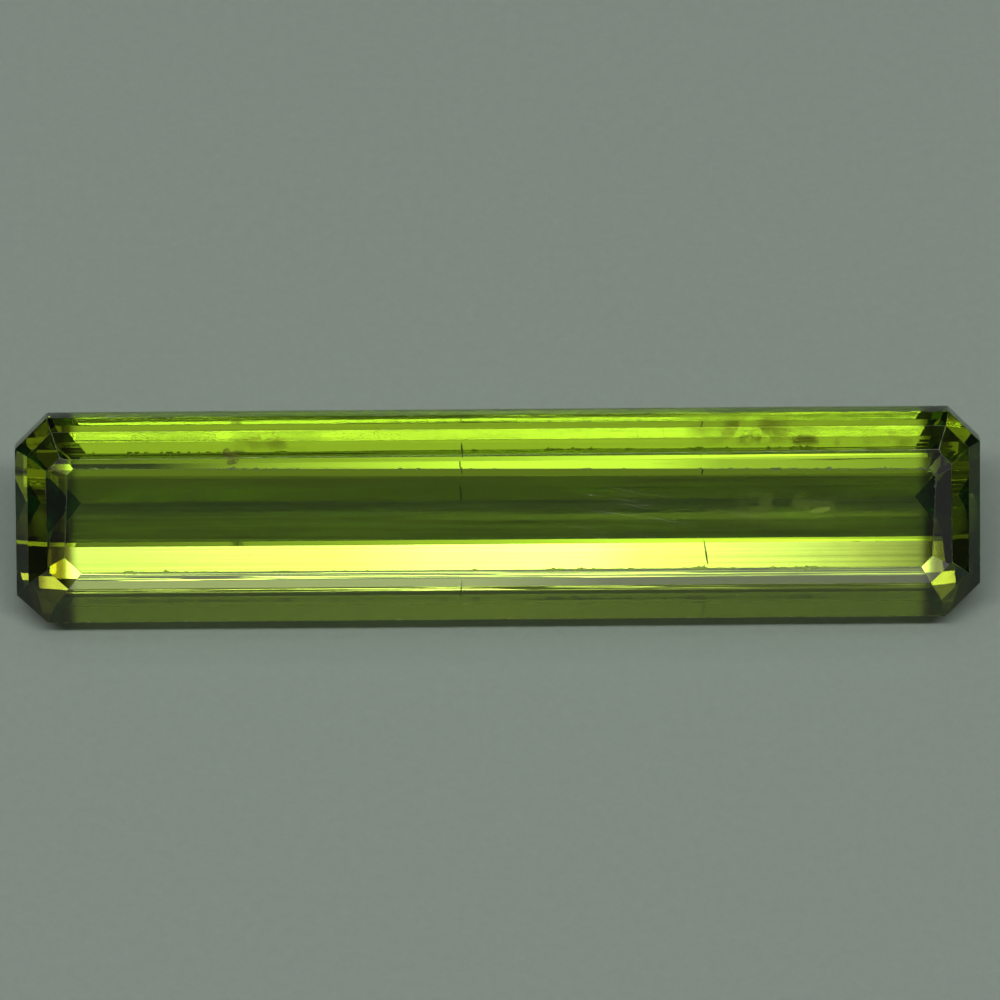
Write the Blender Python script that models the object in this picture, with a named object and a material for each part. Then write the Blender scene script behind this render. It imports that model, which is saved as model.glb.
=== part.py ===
# A tourmaline cut as a long, clipped-corner step cut, lying on one of its pavilion facets.
#
# The stone is cut in its own frame first: X runs along it, the girdle's upper edge lies at Z = 0 and
# the table faces up. It is then tipped onto the facet that it rests on, which turns the table
# towards -Y. Its lowest face lands on Z = 0, with the middle of its outline over the origin.

from math import atan2, cos, degrees, hypot, radians, sin, tan

import bmesh
import bpy
from mathutils import Matrix, Vector

MM = 0.001

# Driving dimensions, in millimetres: the outline at the girdle, seen along the table's normal.
LENGTH = 18.00
WIDTH = 3.947
GIRDLE = 0.423
CROWN_STEPS = (0.211, 0.218, 0.045)
PAVILION_STEPS = (1.265, 0.651)
BLANK_DEPTH = 4.00
BLANK_MARGIN = 0.50

# How far each corner is cut back along the end and along the side: left or right, back or front.
CORNER_CUTS = {
    ("left", "back"): (0.600, 0.600),
    ("right", "back"): (0.585, 0.590),
    ("left", "front"): (0.540, 0.575),
    ("right", "front"): (0.640, 0.640),
}

# The plan width of each crown step, from the girdle to the table.
CROWN_WIDTHS = {
    "back": (0.229, 0.437, 0.263),
    "front": (0.363, 0.393, 0.323),
    "left": (0.229, 0.360, 0.354),
    "right": (0.212, 0.328, 0.330),
    ("left", "back"): (0.225, 0.420, 0.325),
    ("right", "back"): (0.200, 0.415, 0.360),
    ("left", "front"): (0.360, 0.465, 0.410),
    ("right", "front"): (0.320, 0.420, 0.355),
}

# The angle of each pavilion step to the girdle plane, in degrees, from the girdle to the keel.
PAVILION_ANGLES = {
    "back": (59.25, 49.80, 37.15),
    "front": (60.75, 51.05, 38.95),
    "left": (76.0, 66.0, 43.3),
    "right": (76.0, 65.0, 44.5),
    ("left", "back"): (66.0, 56.0, 40.0),
    ("right", "back"): (66.0, 56.0, 40.0),
    ("left", "front"): (66.0, 56.0, 40.0),
    ("right", "front"): (66.0, 56.0, 40.0),
}

# How far the facets beside the table are turned about the table's normal, in degrees.
TABLE_STEP_TURNS = {"back": -0.42, "left": -2.6, "right": -2.6}

# The pavilion facet that the stone lies on: its side, and its place among the steps.
RESTING_FACET = ("front", 1)

STONE_COLOUR = (0.42, 0.60, 0.05, 1.0)
REFRACTIVE_INDEX = 1.635


def clear_scene():
    """Removes every object that the file opened with."""
    for item in list(bpy.data.objects):
        bpy.data.objects.remove(item, do_unlink=True)


def outline():
    """Gives each side of the girdle: its azimuth in degrees and its distance from the middle."""
    sides = {
        "back": (90.0, WIDTH / 2),
        "front": (-90.0, WIDTH / 2),
        "left": (180.0, LENGTH / 2),
        "right": (0.0, LENGTH / 2),
    }
    for (end, side), (along_end, along_side) in CORNER_CUTS.items():
        x_sign = 1 if end == "right" else -1
        y_sign = 1 if side == "back" else -1
        facing = Vector((x_sign * along_end, y_sign * along_side))
        facing.normalize()
        point = Vector((x_sign * LENGTH / 2, y_sign * (WIDTH / 2 - along_end)))
        sides[(end, side)] = (degrees(atan2(facing.y, facing.x)), facing.dot(point))
    return sides


def facing(azimuth, tilt):
    """The outward normal of a facet: tilt is 90 at the girdle, 0 facing up and 180 facing down."""
    flat = sin(radians(tilt))
    return Vector((flat * cos(radians(azimuth)), flat * sin(radians(azimuth)), cos(radians(tilt))))


def crown_facets(name, azimuth, reach):
    """Lists the crown facets of one side as (point, normal), from the girdle to the table."""
    facets = []
    height = 0.0
    for step, width in enumerate(CROWN_WIDTHS[name]):
        rise = CROWN_STEPS[step]
        innermost = step == len(CROWN_STEPS) - 1
        turn = TABLE_STEP_TURNS.get(name, 0.0) if innermost else 0.0
        point = facing(azimuth, 90.0) * reach + Vector((0.0, 0.0, height))
        facets.append((point, facing(azimuth + turn, degrees(atan2(rise, width)))))
        reach -= width
        height += rise
    return facets


def pavilion_facets(name, azimuth, reach):
    """Lists the pavilion facets of one side as (point, normal), from the girdle to the keel."""
    facets = []
    height = -GIRDLE
    for step, angle in enumerate(PAVILION_ANGLES[name]):
        point = facing(azimuth, 90.0) * reach + Vector((0.0, 0.0, height))
        facets.append((point, facing(azimuth, 180.0 - angle)))
        if step < len(PAVILION_STEPS):
            depth = PAVILION_STEPS[step]
            reach -= depth / tan(radians(angle))
            height -= depth
    return facets


def cut(stone, point, normal):
    """Grinds away all that lies outside one facet's plane, and closes the stone with that facet."""
    geometry = stone.verts[:] + stone.edges[:] + stone.faces[:]
    result = bmesh.ops.bisect_plane(
        stone, geom=geometry, dist=1e-6, plane_co=point, plane_no=normal, clear_outer=True
    )
    rim = [item for item in result["geom_cut"] if isinstance(item, bmesh.types.BMEdge)]
    if rim:
        bmesh.ops.contextual_create(stone, geom=rim)


def blank():
    """Makes the block that the stone is cut from, a little larger all round than the stone."""
    stone = bmesh.new()
    top = sum(CROWN_STEPS)
    bmesh.ops.create_cube(stone, size=1.0)
    size = (LENGTH + BLANK_MARGIN, WIDTH + BLANK_MARGIN, BLANK_DEPTH)
    bmesh.ops.scale(stone, vec=size, verts=stone.verts)
    bmesh.ops.translate(stone, vec=(0.0, 0.0, top - BLANK_DEPTH / 2), verts=stone.verts)
    return stone


def cut_stone():
    """Cuts the girdle, the crown and the pavilion, and returns the stone with its resting normal."""
    stone = blank()
    resting = None
    for name, (azimuth, reach) in outline().items():
        cut(stone, facing(azimuth, 90.0) * reach, facing(azimuth, 90.0))
        for point, normal in crown_facets(name, azimuth, reach):
            cut(stone, point, normal)
        for step, (point, normal) in enumerate(pavilion_facets(name, azimuth, reach)):
            cut(stone, point, normal)
            if (name, step) == RESTING_FACET:
                resting = normal
    return stone, resting


def lay_down(stone, resting):
    """Tips the stone onto its resting facet and puts the middle of its foot at the origin."""
    tip = resting.rotation_difference(Vector((0.0, 0.0, -1.0))).to_matrix()
    bmesh.ops.rotate(stone, cent=(0.0, 0.0, 0.0), matrix=tip, verts=stone.verts)
    spans = [[vert.co[axis] for vert in stone.verts] for axis in range(3)]
    middle = [(min(span) + max(span)) / 2 for span in spans]
    bmesh.ops.translate(stone, vec=(-middle[0], -middle[1], -min(spans[2])), verts=stone.verts)
    bmesh.ops.scale(stone, vec=(MM, MM, MM), verts=stone.verts)


def crystal():
    """Clear yellow-green crystal with a polished surface."""
    material = bpy.data.materials.new("tourmaline_crystal")
    material.use_nodes = True
    shader = material.node_tree.nodes["Principled BSDF"]
    shader.inputs["Base Color"].default_value = STONE_COLOUR
    shader.inputs["Roughness"].default_value = 0.02
    shader.inputs["Metallic"].default_value = 0.0
    shader.inputs["IOR"].default_value = REFRACTIVE_INDEX
    shader.inputs["Transmission Weight"].default_value = 1.0
    return material


def main():
    clear_scene()
    stone, resting = cut_stone()
    lay_down(stone, resting)
    bmesh.ops.recalc_face_normals(stone, faces=stone.faces)
    mesh = bpy.data.meshes.new("tourmaline")
    stone.to_mesh(mesh)
    stone.free()
    mesh.materials.append(crystal())
    item = bpy.data.objects.new("tourmaline", mesh)
    bpy.context.scene.collection.objects.link(item)
    return item


main()
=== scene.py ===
# %% [markdown]
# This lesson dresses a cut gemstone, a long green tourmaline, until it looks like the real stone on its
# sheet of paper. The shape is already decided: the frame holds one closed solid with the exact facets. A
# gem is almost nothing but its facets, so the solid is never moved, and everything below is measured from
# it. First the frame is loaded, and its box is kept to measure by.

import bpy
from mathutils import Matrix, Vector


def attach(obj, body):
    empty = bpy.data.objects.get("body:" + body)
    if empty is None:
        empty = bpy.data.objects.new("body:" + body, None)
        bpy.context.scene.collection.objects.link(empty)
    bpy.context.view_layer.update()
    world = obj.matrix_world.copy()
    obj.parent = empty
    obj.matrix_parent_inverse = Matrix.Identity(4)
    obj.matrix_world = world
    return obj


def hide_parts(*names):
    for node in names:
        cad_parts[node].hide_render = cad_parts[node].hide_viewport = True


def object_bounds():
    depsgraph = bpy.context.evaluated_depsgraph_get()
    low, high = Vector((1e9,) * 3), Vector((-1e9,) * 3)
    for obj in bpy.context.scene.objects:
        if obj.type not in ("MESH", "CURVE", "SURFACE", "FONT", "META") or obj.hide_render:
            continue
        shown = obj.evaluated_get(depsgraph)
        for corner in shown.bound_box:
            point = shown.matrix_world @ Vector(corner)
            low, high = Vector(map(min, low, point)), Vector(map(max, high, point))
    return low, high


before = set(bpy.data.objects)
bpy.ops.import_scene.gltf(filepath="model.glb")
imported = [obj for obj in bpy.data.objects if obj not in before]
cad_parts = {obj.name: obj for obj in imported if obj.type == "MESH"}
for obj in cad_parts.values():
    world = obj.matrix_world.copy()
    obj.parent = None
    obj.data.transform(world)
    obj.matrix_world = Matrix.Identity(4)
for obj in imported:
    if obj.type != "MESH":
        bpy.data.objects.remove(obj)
cad_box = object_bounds()
cut_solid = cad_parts["tourmaline"]
print("the frame's box in mm:", [[round(1000 * value, 3) for value in corner] for corner in cad_box])

# %% [markdown]
# The frame arrives as triangles, but a lapidary thinks in flat facets. Welding the corners and dissolving
# the edges between triangles that lie in one plane gives the facets back. The largest one that faces the
# viewer is the table, the big window on top of the stone. Its normal and the stone's length give three
# directions that everything else can be laid out by. They could be typed in as numbers, but read from the
# solid they stay true when the stone changes.

# %% Find the facets and the table
from math import atan, cos, degrees, exp, pi, radians, sin, tan

import bmesh
import bpy
from mathutils import Matrix, Vector, noise
from mathutils.bvhtree import BVHTree

MM = 0.001
WELD = 0.001 * MM
SAME_PLANE = radians(0.5)
TOWARDS_VIEWER = 0.3


def flat_facets(mesh):
    """Joins a mesh's triangles into flat facets."""
    stone = bmesh.new()
    stone.from_mesh(mesh)
    bmesh.ops.remove_doubles(stone, verts=stone.verts, dist=WELD)
    bmesh.ops.dissolve_limit(stone, angle_limit=SAME_PLANE, verts=stone.verts, edges=stone.edges)
    bmesh.ops.recalc_face_normals(stone, faces=stone.faces)
    stone.normal_update()
    return stone


facets = flat_facets(cut_solid.data)
facing_viewer = [
    face for face in facets.faces if -face.normal.y > TOWARDS_VIEWER and face.normal.z > TOWARDS_VIEWER
]
table = max(facing_viewer, key=lambda face: face.calc_area())
table_normal = table.normal.copy()
table_centre = table.calc_center_median()
lengthwise = Vector((1.0, 0.0, 0.0))
backwards = table_normal.cross(lengthwise)
table_tip = degrees(atan(-table_normal.y / table_normal.z))
print(len(facets.faces), "facets; the table tips forward by", round(table_tip, 1), "degrees")

# %% [markdown]
# A gem is a machine for light: what each facet shows depends on the exact angle that it is seen from. So
# the camera comes early. A close-up of a small stone is taken from some way off with a long lens, which
# keeps its long edges nearly parallel. The camera looks down at the stone's middle, and the picture is
# rolled by less than half a degree, as a hand-set camera is. The lens follows from how large the stone is
# in the picture.

# %% The camera
PICTURE = 1000
STONE_IN_PICTURE = 966.0
TABLE_CENTRE_IN_PICTURE = (500.7, 517.8)
CAMERA_ELEVATION = radians(53.0)
CAMERA_ROLL = radians(0.44)
CAMERA_DISTANCE = 300 * MM
SENSOR = 36.0

pixel = (cad_box[1].x - cad_box[0].x) / STONE_IN_PICTURE
towards_camera = Vector((0.0, -cos(CAMERA_ELEVATION), sin(CAMERA_ELEVATION)))
level_up = Vector((0.0, sin(CAMERA_ELEVATION), cos(CAMERA_ELEVATION)))
picture_right = lengthwise * cos(CAMERA_ROLL) - level_up * sin(CAMERA_ROLL)
picture_up = level_up * cos(CAMERA_ROLL) + lengthwise * sin(CAMERA_ROLL)
aside = (TABLE_CENTRE_IN_PICTURE[0] - PICTURE / 2) * pixel
below = (TABLE_CENTRE_IN_PICTURE[1] - PICTURE / 2) * pixel
picture_middle = table_centre - picture_right * aside + picture_up * below
eye = picture_middle + towards_camera * CAMERA_DISTANCE

camera_data = bpy.data.cameras.new("camera")
camera_data.sensor_width = SENSOR
camera_data.lens = SENSOR * CAMERA_DISTANCE / (pixel * PICTURE)
camera_data.clip_start = 1 * MM
camera_data.clip_end = 50.0
camera = bpy.data.objects.new("camera", camera_data)
camera.matrix_world = Matrix.Translation(eye) @ Matrix(
    (picture_right, picture_up, towards_camera)
).transposed().to_4x4()
bpy.context.scene.collection.objects.link(camera)
bpy.context.scene.camera = camera
print("lens", round(camera_data.lens), "mm, one pixel is", round(1000 * pixel, 4), "mm on the stone")

# %% [markdown]
# Small marks in and on the stone are easiest to place where they are seen. A line from the camera through
# a point of the picture meets a facet, and inside the crystal it bends, as light does, by the refractive
# index. Following the bent line for a given depth gives the place of a flaw that will show at that point
# of the picture.

# %% From a point of the picture to a place in the stone
REFRACTIVE_INDEX = 1.635
facet_tree = BVHTree.FromBMesh(facets)


def bent(direction, normal):
    """The direction of a line of sight after it has entered the crystal through a facet."""
    entering = -direction.dot(normal)
    ratio = 1.0 / REFRACTIVE_INDEX
    inside = (1.0 - ratio**2 * (1.0 - entering**2)) ** 0.5
    return (direction * ratio + normal * (ratio * entering - inside)).normalized()


def seen_at(u, v, depth=0.0):
    """The place at some depth under the point (u, v) of the picture, and the facet's normal there."""
    aim = picture_middle + (picture_right * (u - PICTURE / 2) - picture_up * (v - PICTURE / 2)) * pixel
    direction = (aim - eye).normalized()
    place, normal, _, _ = facet_tree.ray_cast(eye, direction)
    if place is None:
        raise ValueError(f"the picture's point {u}, {v} isn't on the stone")
    return place + bent(direction, normal) * depth, normal


table_spot, _ = seen_at(*TABLE_CENTRE_IN_PICTURE)
print("the table's middle is seen at", [round(1000 * value, 2) for value in table_spot], "mm")

# %% [markdown]
# No cut stone has perfect edges. Tourmaline is brittle, and where two facets meet there is a narrow worn
# line with small nicks, most of all round the table. A Bevel of one width would look machined. Here the
# edges are first divided into short lengths and then bevelled, and each new corner slides a little way
# into its own facet. A facet's corners never leave its plane, so the facets stay dead flat, while the worn
# line between them gets wider and narrower like the real one. Four noises say how far: a fine grain
# everywhere, patches of hard wear, chips that cluster in those patches, and a jagged rim to each chip.

# %% Wear the edges
WORN_WIDTH = 0.0012 * MM
WORN_WIDER = {"table": 0.0030 * MM, "girdle": 0.0010 * MM, "other": 0.0}
NICK_SPACING = {"table": 0.016 * MM, "girdle": 0.060 * MM, "other": 0.120 * MM}
NICK_DEPTH = {"table": 0.024 * MM, "girdle": 0.018 * MM, "other": 0.004 * MM}
# the cosines by which a facet counts as the table, or as standing upright like the girdle
TABLE_COSINE = 0.9999
GIRDLE_COSINE = 0.02
# how many spots of each noise there are in a millimetre, and how far its pattern is shifted
GRAIN_PER_MM = 23.0
PATCHES_PER_MM = 0.8
CHIPS_PER_MM = 9.1
JAGS_PER_MM = 47.0
FACET_SHIFT = 0.2
PATCH_SHIFT = Vector((31.0, 7.0, 3.0))
CHIP_SHIFT = Vector((5.0, 11.0, 17.0))
# how strongly each noise counts
PATCH_PULL = 0.8
CHIP_LIMIT = 0.14
JAG_LEAST = 0.25
JAG_MORE = 1.5
GRAIN_SHARE = 0.15
CHIP_SHARE = 2.9
CHIP_LEAST = 0.3


def edge_kind(first, second):
    """Says which wear the edge between two facets gets, from the directions that they face."""
    if max(first.dot(table_normal), second.dot(table_normal)) > TABLE_COSINE:
        return "table"
    if min(abs(first.dot(table_normal)), abs(second.dot(table_normal))) < GIRDLE_COSINE:
        return "girdle"
    return "other"


def nick(place, facet_normal, kind):
    """How far a corner slides into its facet at some place on a worn edge."""
    spot = place / MM + facet_normal * FACET_SHIFT
    grain = 0.5 + 0.5 * noise.noise(spot * GRAIN_PER_MM)
    patch = noise.noise(spot * PATCHES_PER_MM + PATCH_SHIFT)
    chip = max(0.0, noise.noise(spot * CHIPS_PER_MM + CHIP_SHIFT) + PATCH_PULL * patch - CHIP_LIMIT)
    jag = JAG_LEAST + JAG_MORE * abs(noise.noise(spot * JAGS_PER_MM))
    depth = GRAIN_SHARE * grain + CHIP_SHARE * chip * (CHIP_LEAST + grain) * jag
    return WORN_WIDER[kind] + NICK_DEPTH[kind] * depth


along_table = [table_centre + lengthwise * step * MM for step in range(-8, 9)]
deepest = max(nick(place, table_normal, "table") for place in along_table)
print("the deepest of", len(along_table), "nicks tried along the table is", round(1000 * deepest, 4), "mm")


# %% Divide, bevel and nick the edges
def worn_stone(stone):
    """Divides, bevels and nicks the edges of the flat-faceted stone."""
    for edge in list(stone.edges):
        kind = edge_kind(*(face.normal for face in edge.link_faces))
        cuts = int(edge.calc_length() / NICK_SPACING[kind])
        if cuts > 0:
            bmesh.ops.subdivide_edges(stone, edges=[edge], cuts=cuts)
    bmesh.ops.bevel(
        stone, geom=stone.edges[:], offset=WORN_WIDTH, offset_type="OFFSET", segments=1, affect="EDGES"
    )
    stone.normal_update()
    flat = {vert: max(vert.link_faces, key=lambda face: face.calc_area()) for vert in stone.verts}
    moves = {}
    for vert in stone.verts:
        own = flat[vert]
        others = {flat[near] for face in vert.link_faces for near in face.verts} - {own}
        move = Vector()
        for other in others:
            inwards = (own.normal * other.normal.dot(own.normal) - other.normal).normalized()
            kind = edge_kind(own.normal, other.normal)
            move += inwards * nick(vert.co, own.normal, kind) / len(others)
        moves[vert] = move
    for vert, move in moves.items():
        vert.co += move


worn_stone(facets)
print("the worn stone has", len(facets.verts), "corners")

# %% [markdown]
# The worn mesh becomes the stone that is seen. It stands in for the frame's solid, which stays in place
# underneath, hidden. A face attribute marks the worn strips, so that the shader can make them frosty and
# leave the facets polished.

# %% Make the stone that is seen
SMALLEST_FACET = 0.03 * MM * MM


def link(name, bm, material):
    """Turns a bmesh into a named object with one material."""
    mesh = bpy.data.meshes.new(name)
    bm.to_mesh(mesh)
    bm.free()
    mesh.materials.append(material)
    item = bpy.data.objects.new(name, mesh)
    bpy.context.scene.collection.objects.link(item)
    return item


worn = facets.faces.layers.float.new("worn")
for face in facets.faces:
    face[worn] = 0.0 if face.calc_area() > SMALLEST_FACET else 1.0
print(sum(1 for face in facets.faces if face[worn] < 0.5), "polished facets are left")

# %% [markdown]
# Every finish below is a Principled shader fed by a few other nodes. Some short helpers keep that
# readable: one adds a node, one starts a material, and the others stretch, multiply or mix values. They
# could be node groups, but a plain function is easier to read and leaves plain nodes in the file.

# %% Start a material
def node(tree, kind, **values):
    """Adds a node and sets its properties and inputs by name."""
    made = tree.nodes.new(kind)
    for name, value in values.items():
        if name in made.inputs:
            made.inputs[name].default_value = value
        else:
            setattr(made, name, value)
    return made


def new_material(name, settings):
    """Starts a material with some of the shader's inputs set; gives it with its tree and its shader."""
    material = bpy.data.materials.new(name)
    material.use_nodes = True
    shader = material.node_tree.nodes["Principled BSDF"]
    for socket, value in settings.items():
        shader.inputs[socket].default_value = value
    return material, material.node_tree, shader


print("a material starts with a Principled shader")


# %% Stretch, multiply and mix
def smooth_step(tree, value, start, end):
    """0 where the value is at start, 1 where it is at end, and a soft curve in between."""
    step = node(tree, "ShaderNodeMapRange", interpolation_type="SMOOTHSTEP")
    step.inputs["From Min"].default_value = start
    step.inputs["From Max"].default_value = end
    tree.links.new(value, step.inputs["Value"])
    return step.outputs[0]


def rescaled(tree, value, from_span, to_span):
    """Stretches a value from one span of numbers to another, and holds it at the ends."""
    step = node(tree, "ShaderNodeMapRange")
    step.inputs["From Min"].default_value, step.inputs["From Max"].default_value = from_span
    step.inputs["To Min"].default_value, step.inputs["To Max"].default_value = to_span
    tree.links.new(value, step.inputs["Value"])
    return step.outputs[0]


def product(tree, values):
    """Multiplies some nodes' values together."""
    result = values[0]
    for value in values[1:]:
        both = node(tree, "ShaderNodeMath", operation="MULTIPLY")
        tree.links.new(result, both.inputs[0])
        tree.links.new(value, both.inputs[1])
        result = both.outputs[0]
    return result


def mixed(tree, factor, first, second):
    """Mixes two colours, each of them a fixed colour or another node's output."""
    mix = node(tree, "ShaderNodeMix", data_type="RGBA")
    tree.links.new(factor, mix.inputs["Factor"])
    for socket, colour in ((mix.inputs[6], first), (mix.inputs[7], second)):
        if isinstance(colour, tuple):
            socket.default_value = colour
        else:
            tree.links.new(colour, socket)
    return mix.outputs[2]


print("values can be stretched, multiplied and mixed")

# %% [markdown]
# Tourmaline is clear, with a refractive index of about 1.63. Its green is not on its surface but in its
# depth: blue is swallowed within a millimetre or two, red more slowly, and green hardly at all. So the
# shader is plain glass with a Volume Absorption, and a short way through the stone looks yellow-green, a
# long way deep green.

# %% The colour that builds up in the depth
ABSORBED_PER_MM = (0.090, 0.019, 0.480)
DENSEST = 0.9


def colour_in_depth(tree):
    """Swallows each colour of light at its own rate on the way through the crystal."""
    strongest = max(ABSORBED_PER_MM)
    colour = [1.0 - rate / strongest * DENSEST for rate in ABSORBED_PER_MM]
    depth = node(tree, "ShaderNodeVolumeAbsorption", Density=strongest / DENSEST / MM, Color=(*colour, 1.0))
    return depth.outputs[0]


print("one millimetre lets through", [round(exp(-rate), 2) for rate in ABSORBED_PER_MM], "of the light")

# %% [markdown]
# Seen along its length the same crystal is a dark olive brown. A volume can't know the direction of the
# light, so the facets at the two ends get an olive tint instead. One small zone on the left end is tinted
# bright yellow instead of olive. It is a painted glint of light shining out of that end: a slanting patch,
# bounded by four soft steps that are multiplied together.

# %% Olive ends and a painted yellow glint
CLEAR = (1.0, 1.0, 1.0, 1.0)
LEFT_OLIVE = (0.10, 0.075, 0.015, 1.0)
RIGHT_OLIVE = (0.12, 0.11, 0.02, 1.0)
OLIVE_FROM = 7.86 * MM
OLIVE_TO = 8.10 * MM
# the painted yellow glint on the left end: its colour, how far up the table it starts and ends, how its
# upper rim slants, and its two ends
GLINT_YELLOW = (1.0, 0.78, 0.08, 1.0)
YELLOW_FROM = 0.58 * MM
YELLOW_TO = 1.245 * MM
YELLOW_SLANT = 0.64
YELLOW_ENDS = (-8.85 * MM, -8.20 * MM)
SOFT_RIM = 0.03 * MM


def distance_along(tree, place, way):
    """How far a point of the stone lies from the table's middle, along one direction."""
    from_centre = node(tree, "ShaderNodeVectorMath", operation="SUBTRACT")
    from_centre.inputs[1].default_value = table_centre
    tree.links.new(place, from_centre.inputs[0])
    along = node(tree, "ShaderNodeVectorMath", operation="DOT_PRODUCT")
    along.inputs[1].default_value = way
    tree.links.new(from_centre.outputs[0], along.inputs[0])
    return along.outputs["Value"]


def painted_glint_zone(tree, place, along_stone):
    """1 inside the small painted yellow glint on the left end, 0 elsewhere."""
    left, right = YELLOW_ENDS
    upwards = distance_along(tree, place, backwards)
    slanting = distance_along(tree, place, backwards + lengthwise * YELLOW_SLANT)
    upper_rim = YELLOW_TO + YELLOW_SLANT * (left - table_centre.x)
    return product(tree, (
        smooth_step(tree, upwards, YELLOW_FROM, YELLOW_FROM + SOFT_RIM),
        smooth_step(tree, slanting, upper_rim + SOFT_RIM, upper_rim),
        smooth_step(tree, along_stone, left, left + SOFT_RIM),
        smooth_step(tree, along_stone, right + SOFT_RIM, right),
    ))


def end_tint(tree):
    """Clear over most of the stone, olive on the facets at its two ends, with the painted yellow glint."""
    place = node(tree, "ShaderNodeTexCoord").outputs["Object"]
    parts = node(tree, "ShaderNodeSeparateXYZ")
    tree.links.new(place, parts.inputs[0])
    along_stone = parts.outputs["X"]
    right_half = node(tree, "ShaderNodeMath", operation="GREATER_THAN")
    right_half.inputs[1].default_value = 0.0
    tree.links.new(along_stone, right_half.inputs[0])
    from_middle = node(tree, "ShaderNodeMath", operation="ABSOLUTE")
    tree.links.new(along_stone, from_middle.inputs[0])
    olive = mixed(tree, right_half.outputs[0], LEFT_OLIVE, RIGHT_OLIVE)
    zoned = mixed(tree, painted_glint_zone(tree, place, along_stone), olive, GLINT_YELLOW)
    near_end = smooth_step(tree, from_middle.outputs[0], OLIVE_FROM, OLIVE_TO)
    return mixed(tree, near_end, CLEAR, zoned)


print("the olive ends are", round(1000 * (cad_box[1].x - OLIVE_FROM), 2), "mm long")

# %% [markdown]
# Along the facets run faint lines left by the polishing lap. They are far too fine to model, but they turn
# the light by a hair and give each band its silky look. A Bump node would need a height; here a noise that
# is stretched along the stone is simply added to the facet's direction, across the stone only.

# %% Lap lines
LAP_LINES_PER_MM = (0.07, 17.0, 17.0)
LAP_LINE_SLOPE = 0.022


def streaks(tree, per_mm):
    """A noise fixed to the stone and stretched, with so many spots in a millimetre along each axis."""
    place = node(tree, "ShaderNodeTexCoord")
    stretched = node(tree, "ShaderNodeVectorMath", operation="MULTIPLY")
    stretched.inputs[1].default_value = [count / MM for count in per_mm]
    tree.links.new(place.outputs["Object"], stretched.inputs[0])
    made = node(tree, "ShaderNodeTexNoise", Scale=1.0, Detail=3.0)
    tree.links.new(stretched.outputs[0], made.inputs["Vector"])
    return made


def lap_lines(tree):
    """The facet's direction, turned a hair by the fine lines that run along it."""
    lines = streaks(tree, LAP_LINES_PER_MM)
    centred = node(tree, "ShaderNodeVectorMath", operation="SUBTRACT")
    centred.inputs[1].default_value = (0.5, 0.5, 0.5)
    tree.links.new(lines.outputs["Color"], centred.inputs[0])
    facet = node(tree, "ShaderNodeNewGeometry")
    turned = node(tree, "ShaderNodeVectorMath", operation="MULTIPLY_ADD")
    turned.inputs[1].default_value = (0.0, LAP_LINE_SLOPE, LAP_LINE_SLOPE)
    tree.links.new(centred.outputs[0], turned.inputs[0])
    tree.links.new(facet.outputs["Normal"], turned.inputs[2])
    return turned.outputs[0]


print("a lap line turns its facet by up to", round(degrees(atan(LAP_LINE_SLOPE / 2)), 2), "degrees")

# %% [markdown]
# Now the crystal's finish is put together. The face attribute from before tells the shader where the stone
# is worn: there it is rough and a dull dark green, and everywhere else it is polished.

# %% The crystal
WORN_SHADE = (0.13, 0.15, 0.04, 1.0)
WORN_ROUGHNESS = 0.35


def crystal_material():
    """Clear green crystal: polished facets, frosty worn edges, olive ends."""
    material, tree, shader = new_material(
        "tourmaline_crystal", {"IOR": REFRACTIVE_INDEX, "Transmission Weight": 1.0}
    )
    frost = node(tree, "ShaderNodeAttribute", attribute_name="worn").outputs["Fac"]
    colour = mixed(tree, frost, end_tint(tree), WORN_SHADE)
    roughness = rescaled(tree, frost, (0.0, 1.0), (0.0, WORN_ROUGHNESS))
    tree.links.new(colour, shader.inputs["Base Color"])
    tree.links.new(roughness, shader.inputs["Roughness"])
    tree.links.new(lap_lines(tree), shader.inputs["Normal"])
    tree.links.new(colour_in_depth(tree), tree.nodes["Material Output"].inputs["Volume"])
    return material


crystal = link("tourmaline_worn", facets, crystal_material())
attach(crystal, "root")
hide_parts("tourmaline")
print("the stone has", len(crystal.data.polygons), "faces")

# %% [markdown]
# Hardly any tourmaline is clean. A small brown crystal was caught near one end while the stone grew. It is
# an angular grain of another mineral, so it is made as the hull round a few scattered points, which gives
# flat faces and sharp corners by itself. A few grains close together look like the broken cluster that is
# really there.

# %% A grain of the caught crystal
import random

# picture column, row, depth and size in millimetres
GRAINS_AT = ((227, 453, 0.20, 0.26), (236, 458, 0.22, 0.30), (231, 462, 0.18, 0.18), (242, 452, 0.24, 0.12))
GRAIN_CORNERS = 9
CORNER_REACH = (0.75, 1.0)


def grain(bm, centre, size, seed):
    """Adds a small angular crystal: the hull round points scattered over a ball."""
    draw = random.Random(seed)
    made = []
    for _ in range(GRAIN_CORNERS):
        way = Vector((draw.gauss(0, 1), draw.gauss(0, 1), draw.gauss(0, 1))).normalized()
        made.append(bm.verts.new(centre + way * size / 2 * draw.uniform(*CORNER_REACH)))
    hull = bmesh.ops.convex_hull(bm, input=made)
    bmesh.ops.delete(bm, geom=[item for item in hull["geom_interior"] if item.is_valid], context="VERTS")


print(len(GRAINS_AT), "grains, up to", max(size for *_, size in GRAINS_AT), "mm wide")

# %% The caught crystal and its finish
BROWN_DARK = (0.10, 0.07, 0.01, 1.0)
BROWN_LIGHT = (0.45, 0.34, 0.10, 1.0)
BROWN_SPOTS_PER_MM = 9.0
BROWN_OPACITY = (0.18, 0.85)
BROWN_RIM = 0.45


def spots(tree, per_mm, **settings):
    """A noise fixed to the stone, with so many spots in a millimetre."""
    place = node(tree, "ShaderNodeTexCoord")
    made = node(tree, "ShaderNodeTexNoise", Scale=per_mm / MM, **settings)
    tree.links.new(place.outputs["Object"], made.inputs["Vector"])
    return made


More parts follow.
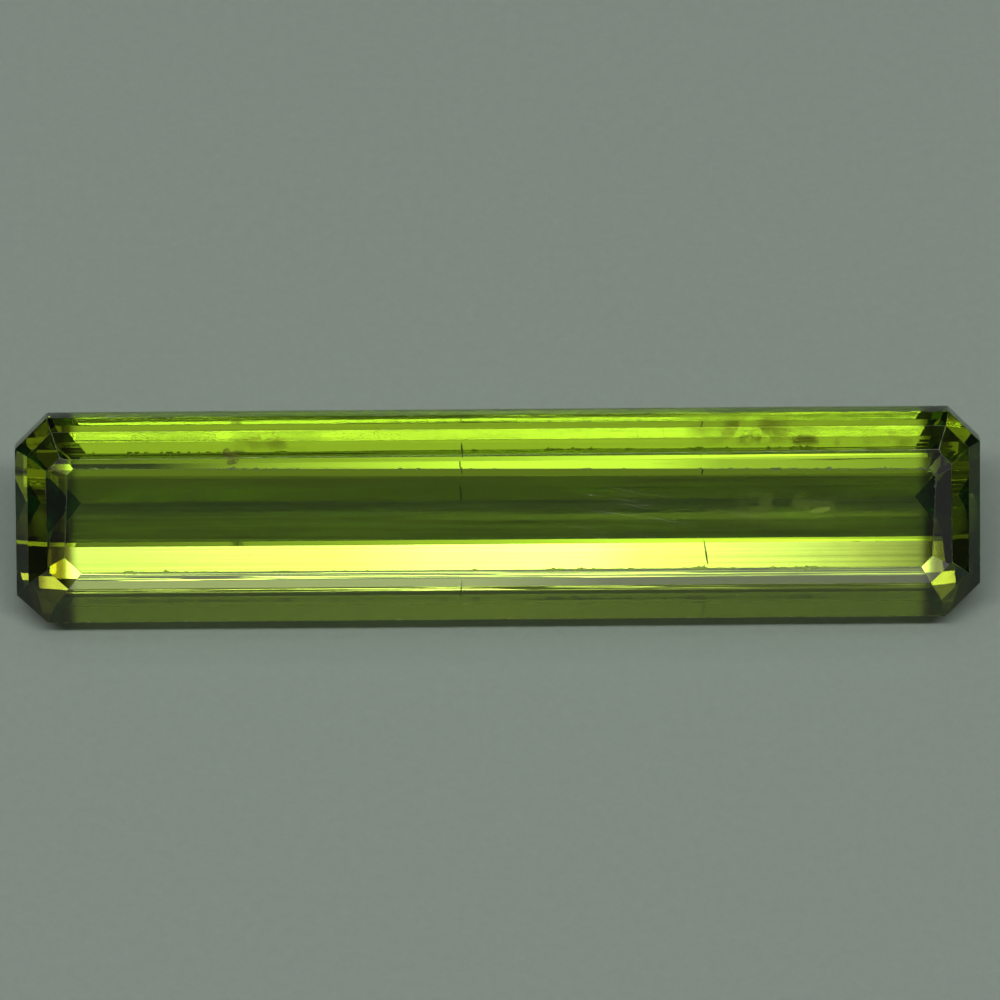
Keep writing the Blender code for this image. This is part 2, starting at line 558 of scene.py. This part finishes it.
def two_colours(tree, factor, first, second):
    """A ramp between two colours, each given as (position, colour)."""
    ramp = node(tree, "ShaderNodeValToRGB")
    for stop, (position, colour) in zip(ramp.color_ramp.elements, (first, second)):
        stop.position = position
        stop.color = colour
    tree.links.new(factor, ramp.inputs["Fac"])
    return ramp.outputs["Color"]


def brown_material():
    """Brown, slightly see-through mineral, more opaque towards its rim."""
    material, tree, shader = new_material("brown_mineral", {"Roughness": 0.25})
    cloudy = spots(tree, BROWN_SPOTS_PER_MM).outputs["Fac"]
    colour = two_colours(tree, cloudy, (0.0, BROWN_DARK), (1.0, BROWN_LIGHT))
    rim = node(tree, "ShaderNodeLayerWeight", Blend=BROWN_RIM)
    tree.links.new(colour, shader.inputs["Base Color"])
    tree.links.new(
        rescaled(tree, rim.outputs["Facing"], (0.0, 1.0), BROWN_OPACITY), shader.inputs["Alpha"]
    )
    return material


grains = bmesh.new()
for seed, (u, v, depth, size) in enumerate(GRAINS_AT):
    grain(grains, seen_at(u, v, depth * MM)[0], size * MM, seed)
caught = link("caught_crystal", grains, brown_material())
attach(caught, "root")
print("the caught crystal has", len(caught.data.polygons), "faces")

# %% [markdown]
# Tourmaline also has fine cracks, called feathers. Each is a thin torn leaf, seen almost edge on as a dark
# thread or tick. A leaf is built as a ragged outline round a middle point, which is quick and needs no
# thickness. All leaves are joined in one mesh. The long ones cross the stone at two places, one left and
# one right of its middle. The short ones lie near its back edge, where the cutter's pressure was greatest.

# %% A feather
# picture column, row, length and height in millimetres, lean in degrees
FEATHERS = (
    (462, 450, 0.22, 0.30, 3.0),
    (461, 420, 0.16, 0.22, 3.0),
    (461, 590, 0.22, 0.55, -4.0),
    (462, 471, 0.14, 0.14, 2.0),
    (706, 553, 0.16, 0.66, 9.0),
    (504, 424, 0.05, 0.20, 8.0),
    (533, 423, 0.05, 0.16, -6.0),
    (545, 434, 0.05, 0.14, 5.0),
    (590, 420, 0.06, 0.16, 9.0),
    (627, 433, 0.05, 0.14, -8.0),
    (636, 434, 0.05, 0.14, 6.0),
    (664, 432, 0.05, 0.12, 4.0),
    (374, 432, 0.04, 0.18, 2.0),
    (579, 579, 0.03, 0.12, 2.0),
)
FEATHER_DEPTH = 0.12 * MM
FEATHER_TURN = 12.0
RAGS = 22
RAG_REACH = (0.7, 1.0)


def feather(bm, place, normal, length, height, lean, seed):
    """Adds one ragged leaf that stands across the stone, a little off the line of sight."""
    draw = random.Random(seed)
    across = normal.cross(lengthwise).normalized()
    turned = Matrix.Rotation(radians(lean), 3, normal) @ across
    inwards = (-normal + lengthwise * tan(radians(FEATHER_TURN))).normalized()
    middle = bm.verts.new(place)
    rim = []
    for step in range(RAGS):
        angle = 2 * pi * step / RAGS
        reach = draw.uniform(*RAG_REACH)
        rim.append(bm.verts.new(
            place + turned * cos(angle) * height / 2 * reach + inwards * sin(angle) * length / 2 * reach
        ))
    for step in range(RAGS):
        bm.faces.new((middle, rim[step], rim[(step + 1) % RAGS]))


print("the longest feather is", max(max(length, height) for _, _, length, height, _ in FEATHERS), "mm long")

# %% All the feathers and their finish
FEATHER_SHADE = (0.05, 0.06, 0.01, 1.0)
THREADS_PER_MM = 6.0
TORN_BETWEEN = (0.3, 0.6)
FEATHER_OPACITY = (0.45, 1.0)


def feather_material():
    """A thin dark crack, torn into threads."""
    material, tree, shader = new_material("feather", {"Base Color": FEATHER_SHADE, "Roughness": 0.6})
    threads = spots(tree, THREADS_PER_MM).outputs["Fac"]
    tree.links.new(rescaled(tree, threads, TORN_BETWEEN, FEATHER_OPACITY), shader.inputs["Alpha"])
    return material


leaves = bmesh.new()
for seed, (u, v, length, height, lean) in enumerate(FEATHERS):
    place, normal = seen_at(u, v, FEATHER_DEPTH)
    feather(leaves, place, normal, length * MM, height * MM, lean, seed)
feathers = link("feathers", leaves, feather_material())
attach(feathers, "root")
print(len(FEATHERS), "feathers")

# %% [markdown]
# Towards one end the crystal is clouded: wisps of tiny fluid drops hang in it like smoke. Fog in a volume
# would be slow and the export would lose it. A few thin, gently waved sheets do the same here. Each is
# clear but for soft patches, smoky brown or milky green, drawn by noise and faded towards its rim.

# %% The clouds' places and finish
SMOKY = (0.12, 0.11, 0.012, 1.0)
MILKY = (0.26, 0.38, 0.05, 1.0)
# picture column, row, depth, length and height in millimetres, strength, colour
CLOUDS = (
    (752, 430, 0.20, 2.4, 0.60, 0.75, SMOKY),
    (790, 440, 0.35, 3.6, 0.26, 0.85, SMOKY),
    (890, 440, 0.30, 1.2, 0.40, 0.60, SMOKY),
    (877, 450, 0.10, 0.5, 0.14, 0.90, SMOKY),
    (275, 442, 0.30, 1.7, 0.40, 0.55, SMOKY),
    (790, 507, 0.03, 3.4, 0.80, 0.42, MILKY),
    (868, 552, 0.30, 3.4, 0.80, 0.06, SMOKY),
    (170, 492, 0.30, 1.6, 0.25, 0.30, MILKY),
)
PATCHES_IN_CLOUD_PER_MM = 2.6
PATCH_EDGES = (0.42, 0.60)
# how far the noise is shifted from one cloud to the next
NEXT_CLOUD = (3.7 * MM, 1.3 * MM, 0.0)


def cloud_material(name, strength, colour, seed):
    """Soft patches of one colour that fade out towards the sheet's rim."""
    material, tree, shader = new_material(
        name, {"Base Color": colour, "Roughness": 0.9, "Specular IOR Level": 0.0}
    )
    place = node(tree, "ShaderNodeTexCoord")
    shift = node(tree, "ShaderNodeVectorMath", operation="ADD")
    shift.inputs[1].default_value = [seed * step for step in NEXT_CLOUD]
    tree.links.new(place.outputs["Object"], shift.inputs[0])
    smoke = node(tree, "ShaderNodeTexNoise", Scale=PATCHES_IN_CLOUD_PER_MM / MM, Detail=4.0)
    tree.links.new(shift.outputs[0], smoke.inputs["Vector"])
    patches = smooth_step(tree, smoke.outputs["Fac"], *PATCH_EDGES)
    rim = node(tree, "ShaderNodeAttribute", attribute_name="thickness")
    thin = node(tree, "ShaderNodeMath", operation="MULTIPLY")
    thin.inputs[1].default_value = strength
    tree.links.new(product(tree, (patches, rim.outputs["Fac"])), thin.inputs[0])
    tree.links.new(thin.outputs[0], shader.inputs["Alpha"])
    return material


print("the densest cloud is", max(strength for *_, strength, _ in CLOUDS), "opaque at its thickest")

# %% The clouds
CLOUD_STEPS = 24
CLOUD_WAVE = 0.05 * MM
WAVES_ALONG = 3
WAVES_ACROSS = 2
NEXT_WAVES = 5.1


def cloud(name, u, v, depth, length, height, strength, colour, seed):
    """Makes one waved sheet under the facet that is seen at (u, v)."""
    middle, normal = seen_at(u, v, depth * MM)
    half_length = lengthwise * length * MM / 2
    half_height = normal.cross(lengthwise).normalized() * height * MM / 2
    sheet = bmesh.new()
    thickness = sheet.verts.layers.float.new("thickness")
    span = [2 * step / CLOUD_STEPS - 1 for step in range(CLOUD_STEPS + 1)]
    rows = []
    for s in span:
        row = []
        for t in span:
            wave = CLOUD_WAVE * noise.noise(Vector((WAVES_ALONG * s, WAVES_ACROSS * t, seed * NEXT_WAVES)))
            vert = sheet.verts.new(middle + half_length * s + half_height * t + normal * wave)
            vert[thickness] = (1 - s * s) * (1 - t * t)
            row.append(vert)
        rows.append(row)
    for near, far in zip(rows, rows[1:]):
        for i in range(CLOUD_STEPS):
            sheet.faces.new((near[i], far[i], far[i + 1], near[i + 1]))
    made = link(name, sheet, cloud_material(name, strength, colour, seed))
    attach(made, "root")
    return made


for seed, facts in enumerate(CLOUDS):
    cloud(f"cloud_{seed + 1}", *facts, seed)
print(len(CLOUDS), "clouds")

# %% [markdown]
# The broad band under the table's middle lies in deeper shade than the clear crystal and these lights give
# it. That shade is painted: one long thin sheet of smoky green lies just under the table and dims what is
# seen through it. It is streaked lengthwise by a noise that is stretched along the stone. A darker second
# volume would be slow and noisy to render.

# %% A sheet of painted shade under the table
# picture column and row of the sheet's corners
LAYER_CORNERS = ((70, 476), (930, 476), (930, 539), (70, 539))
LAYER_DEPTH = 0.06 * MM
# the colour of the painted shade that dims the band under the table
PAINTED_SHADE = (0.012, 0.030, 0.004, 1.0)
LAYER_STREAKS_PER_MM = (0.3, 9.0, 9.0)
LAYER_EDGES = (0.35, 0.65)
LAYER_OPACITY = (0.40, 0.62)


def painted_shade_material():
    """Painted shade: dark smoky green, in streaks along the stone."""
    material, tree, shader = new_material(
        "painted_shade_sheet", {"Base Color": PAINTED_SHADE, "Roughness": 0.9, "Specular IOR Level": 0.0}
    )
    smoke = streaks(tree, LAYER_STREAKS_PER_MM).outputs["Fac"]
    tree.links.new(rescaled(tree, smoke, LAYER_EDGES, LAYER_OPACITY), shader.inputs["Alpha"])
    return material


# one sheet of painted shade, just under the table
layer = bmesh.new()
layer.faces.new([layer.verts.new(seen_at(u, v, LAYER_DEPTH)[0]) for u, v in LAYER_CORNERS])
painted_shade_sheet = link("painted_shade_sheet", layer, painted_shade_material())
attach(painted_shade_sheet, "root")
print("the growth layer is", round(1000 * painted_shade_sheet.dimensions.x, 1), "mm long")

# %% [markdown]
# Between the larger flaws hang pinpoints: single drops and grains too small to have a shape. Each one is a
# tiny ball of twenty faces. Their places are drawn at random over the stone's face, but from a fixed seed,
# so that every run gives the same stone.

# %% Pinpoints
PINPOINTS = 90
PINPOINT_SIZES = (0.008, 0.022)
PINPOINT_FIELD = ((90, 910), (416, 600))
PINPOINT_DEPTHS = (0.08, 0.6)
PINPOINT_DARK = (0.06, 0.05, 0.01, 1.0)
PINPOINT_PALE = (0.60, 0.62, 0.40, 1.0)
PINPOINT_KINDS_PER_MM = 1.5
PINPOINT_KINDS_AT = (0.55, 0.60)


def pinpoint_material():
    """Partly clear, dark brown in some places and pale in others."""
    material, tree, shader = new_material("pinpoint", {"Roughness": 0.5, "Alpha": 0.8})
    kind = spots(tree, PINPOINT_KINDS_PER_MM).outputs["Fac"]
    dark_until, pale_from = PINPOINT_KINDS_AT
    colour = two_colours(tree, kind, (dark_until, PINPOINT_DARK), (pale_from, PINPOINT_PALE))
    tree.links.new(colour, shader.inputs["Base Color"])
    return material


PLACES_SEED = 7
draw = random.Random(PLACES_SEED)
dots = bmesh.new()
for _ in range(PINPOINTS):
    u, v = (draw.uniform(*span) for span in PINPOINT_FIELD)
    place, _ = seen_at(u, v, draw.uniform(*PINPOINT_DEPTHS) * MM)
    size = draw.uniform(*PINPOINT_SIZES) * MM
    bmesh.ops.create_icosphere(dots, subdivisions=1, radius=size / 2, matrix=Matrix.Translation(place))
pinpoints = link("pinpoints", dots, pinpoint_material())
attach(pinpoints, "root")
print(PINPOINTS, "pinpoints")

# %% [markdown]
# The table has been worn by years of handling: fine scratches cross its right half. A scratch is far
# narrower than it is long, so each is a sliver of a face, laid just above the polish where it catches
# light. A bump in the shader would be lost at this size.

# %% Scratches on the table
SCRATCHES = 14
SCRATCH_WIDTH = 0.012 * MM
SCRATCH_LIFT = 0.0006 * MM
SCRATCH_FIELD = ((560, 745), (485, 540))
SCRATCH_LENGTHS = (0.3, 1.3)
SCRATCH_LEAN = (-6.0, -17.0)
SCRATCH_SHADE = (0.55, 0.62, 0.35, 1.0)
SCRATCH_BREAKS_PER_MM = 9.0
SCRATCH_BREAKS = (0.4, 0.7)
SCRATCH_OPACITY = (0.0, 0.42)


def scratch_material():
    """A faint, broken line of lost polish."""
    material, tree, shader = new_material("scratch", {"Base Color": SCRATCH_SHADE, "Roughness": 0.5})
    breaks = spots(tree, SCRATCH_BREAKS_PER_MM).outputs["Fac"]
    tree.links.new(rescaled(tree, breaks, SCRATCH_BREAKS, SCRATCH_OPACITY), shader.inputs["Alpha"])
    return material


def scratch(bm, start, direction, length):
    """Adds one sliver that tapers to a point at both ends."""
    side = table_normal.cross(direction) * SCRATCH_WIDTH / 2
    middle = start + direction * length / 2
    corners = (start, middle - side, start + direction * length, middle + side)
    bm.faces.new([bm.verts.new(corner + table_normal * SCRATCH_LIFT) for corner in corners])


slivers = bmesh.new()
for _ in range(SCRATCHES):
    u, v = (draw.uniform(*span) for span in SCRATCH_FIELD)
    start, _ = seen_at(u, v)
    way = Matrix.Rotation(radians(draw.uniform(*SCRATCH_LEAN)), 3, table_normal) @ lengthwise
    scratch(slivers, start, way, draw.uniform(*SCRATCH_LENGTHS) * MM)
scratches = link("scratches", slivers, scratch_material())
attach(scratches, "root")
print(SCRATCHES, "scratches")

# %% [markdown]
# The stone lies on plain paper, matte and a little uneven. Only a hand's width of it is ever seen, but it
# reaches far enough that no view runs off its edge. A stone touches paper only at the tips of the fibres,
# and the film of air in between is what makes its lowest facet a mirror from inside. So the paper lies a
# hundredth of a millimetre lower than the stone. With no gap at all that facet would turn black.

# %% The paper
PAPER_SIZE = 4.0
PAPER_DARK = (0.154, 0.184, 0.160, 1.0)
PAPER_LIGHT = (0.185, 0.220, 0.190, 1.0)
PAPER_GRAINS_PER_MM = 5.0
PAPER_RELIEF = 0.006 * MM
AIR_FILM = 0.01 * MM


def paper_material():
    """Matte paper with fine grain."""
    material, tree, shader = new_material("paper", {"Roughness": 0.95, "Specular IOR Level": 0.1})
    fibres = spots(tree, PAPER_GRAINS_PER_MM, Detail=4.0, Roughness=0.7).outputs["Fac"]
    tree.links.new(mixed(tree, fibres, PAPER_DARK, PAPER_LIGHT), shader.inputs["Base Color"])
    relief = node(tree, "ShaderNodeBump", Strength=0.6, Distance=PAPER_RELIEF)
    tree.links.new(fibres, relief.inputs["Height"])
    tree.links.new(relief.outputs[0], shader.inputs["Normal"])
    return material


floor_mesh = bmesh.new()
bmesh.ops.create_grid(floor_mesh, x_segments=1, y_segments=1, size=PAPER_SIZE / 2)
bmesh.ops.translate(floor_mesh, vec=(0.0, 0.0, -AIR_FILM), verts=floor_mesh.verts)
paper = link("paper", floor_mesh, paper_material())
print("the paper is", PAPER_SIZE, "m across")

# %% [markdown]
# Plain studio light: soft boxes round a dark room. Each is placed by its height on the arc that runs from
# the horizon behind the stone (0 degrees) over the top (90) to the horizon in front (180), because each
# band in the stone mirrors or passes one stretch of that arc. A place further right in a band shows a
# place further right on its box, so a band that changes along the stone asks for a box that fades across.

# %% The soft boxes' places
# height on the arc and span along it, in degrees, and brightness
SOFT_BOXES = {
    "back_low": (6.0, 12.0, 0.8),
    "back_fill": (42.0, 18.0, 0.55),
    "back_high": (62.5, 5.0, 3.0),
    "top_line": (75.3, 0.4, 6.0),
    "top": (86.3, 17.4, 5.2),
    "key_back": (107.0, 3.0, 6.0),
    "key": (112.0, 5.0, 34.0),
    "front_high": (127.0, 7.0, 1.8),
    "front_middle": (133.5, 4.0, 0.17),
    "front_upper": (142.5, 6.0, 0.40),
    "front_line": (147.0, 2.6, 1.5),
    "front": (150.3, 3.6, 0.50),
    "front_right": (157.0, 2.6, 0.65),
    "front_fill": (157.0, 8.0, 0.07),
    "front_low": (172.5, 15.0, 2.6),
}
print("the brightest box is", max(SOFT_BOXES, key=lambda name: SOFT_BOXES[name][2]))

# %% How some boxes fade across
# places across the box's middle in millimetres, and the brightness there
FADES = {
    "back_fill": ((-2.0, 0.65), (6.0, 0.15), (24.0, 0.08)),
    "top": (
        (-22.0, 0.36), (-9.0, 0.52), (-4.0, 0.85), (2.0, 1.0),
        (5.0, 0.95), (8.0, 0.56), (16.0, 0.36), (24.0, 0.09),
    ),
    "top_line": ((-22.0, 0.75), (-9.5, 1.0), (1.6, 0.55), (9.5, 0.36), (18.4, 0.18)),
    "front_low": ((-22.0, 0.55), (-11.0, 0.65), (0.0, 0.75), (12.0, 0.55), (24.0, 0.5)),
    "front_high": ((-22.0, 0.10), (-11.0, 0.25), (-1.0, 0.42), (8.0, 0.75), (17.0, 1.0), (24.0, 0.6)),
    "front_line": ((-20.0, 0.0), (-11.0, 0.45), (-1.0, 0.9), (8.0, 0.8), (12.0, 0.4), (24.0, 0.25)),
    "front_right": ((3.0, 0.0), (12.0, 0.9), (18.0, 0.9), (22.0, 0.4)),
}
FADE_REACH = 30.0


def fade_across(light, places):
    """Makes a soft box brighter and darker across its middle, as its cloth is seldom lit evenly."""
    light.use_nodes = True
    tree = light.node_tree
    across = node(tree, "ShaderNodeNewGeometry")
    parts = node(tree, "ShaderNodeSeparateXYZ")
    tree.links.new(across.outputs["Position"], parts.inputs[0])
    reach = rescaled(tree, parts.outputs["X"], (-FADE_REACH * MM, FADE_REACH * MM), (0.0, 1.0))
    ramp = node(tree, "ShaderNodeValToRGB")
    stops = ramp.color_ramp.elements
    while len(stops) > 1:
        stops.remove(stops[-1])
    for index, (place, level) in enumerate(places):
        position = (place + FADE_REACH) / (2 * FADE_REACH)
        stop = stops[0] if index == 0 else stops.new(position)
        stop.position = position
        stop.color = (level, level, level, 1.0)
    tree.links.new(reach, ramp.inputs["Fac"])
    tree.links.new(ramp.outputs["Color"], tree.nodes["Emission"].inputs["Strength"])


print(len(FADES), "boxes aren't evenly bright")

# %% Set up the light
ROOM_GREY = 0.03
LIGHT_DISTANCE = 0.6
SIDE_SPAN = 60.0


def soft_box(name, height, span, brightness):
    """A soft rectangular light that faces the stone."""
    angle = radians(height)
    outwards = Vector((0.0, cos(angle), sin(angle)))
    data = bpy.data.lights.new(name, "AREA")
    data.shape = "RECTANGLE"
    data.size = 2 * LIGHT_DISTANCE * tan(radians(SIDE_SPAN / 2))
    data.size_y = 2 * LIGHT_DISTANCE * tan(radians(span / 2))
    data.energy = brightness * pi * data.size * data.size_y
    light = bpy.data.objects.new(name, data)
    light.visible_camera = False
    light.matrix_world = Matrix.Translation(outwards * LIGHT_DISTANCE) @ Matrix(
        (lengthwise, outwards.cross(lengthwise), outwards)
    ).transposed().to_4x4()
    bpy.context.scene.collection.objects.link(light)
    if name in FADES:
        fade_across(data, FADES[name])
    return light


for name, facts in SOFT_BOXES.items():
    soft_box(name, *facts)
room = bpy.data.worlds.new("room")
room.use_nodes = True
room.node_tree.nodes["Background"].inputs["Color"].default_value = (ROOM_GREY, ROOM_GREY, ROOM_GREY, 1.0)
bpy.context.scene.world = room
print(len(SOFT_BOXES), "soft boxes")

# %% [markdown]
# Light goes round inside a gem many times before it comes out, so it is allowed more turns than usual. The
# plain Standard view keeps the colours as they are.

LIGHT_TURNS = 24
scene = bpy.context.scene
scene.cycles.max_bounces = LIGHT_TURNS
scene.cycles.transmission_bounces = LIGHT_TURNS
scene.cycles.glossy_bounces = LIGHT_TURNS
scene.view_settings.view_transform = "Standard"
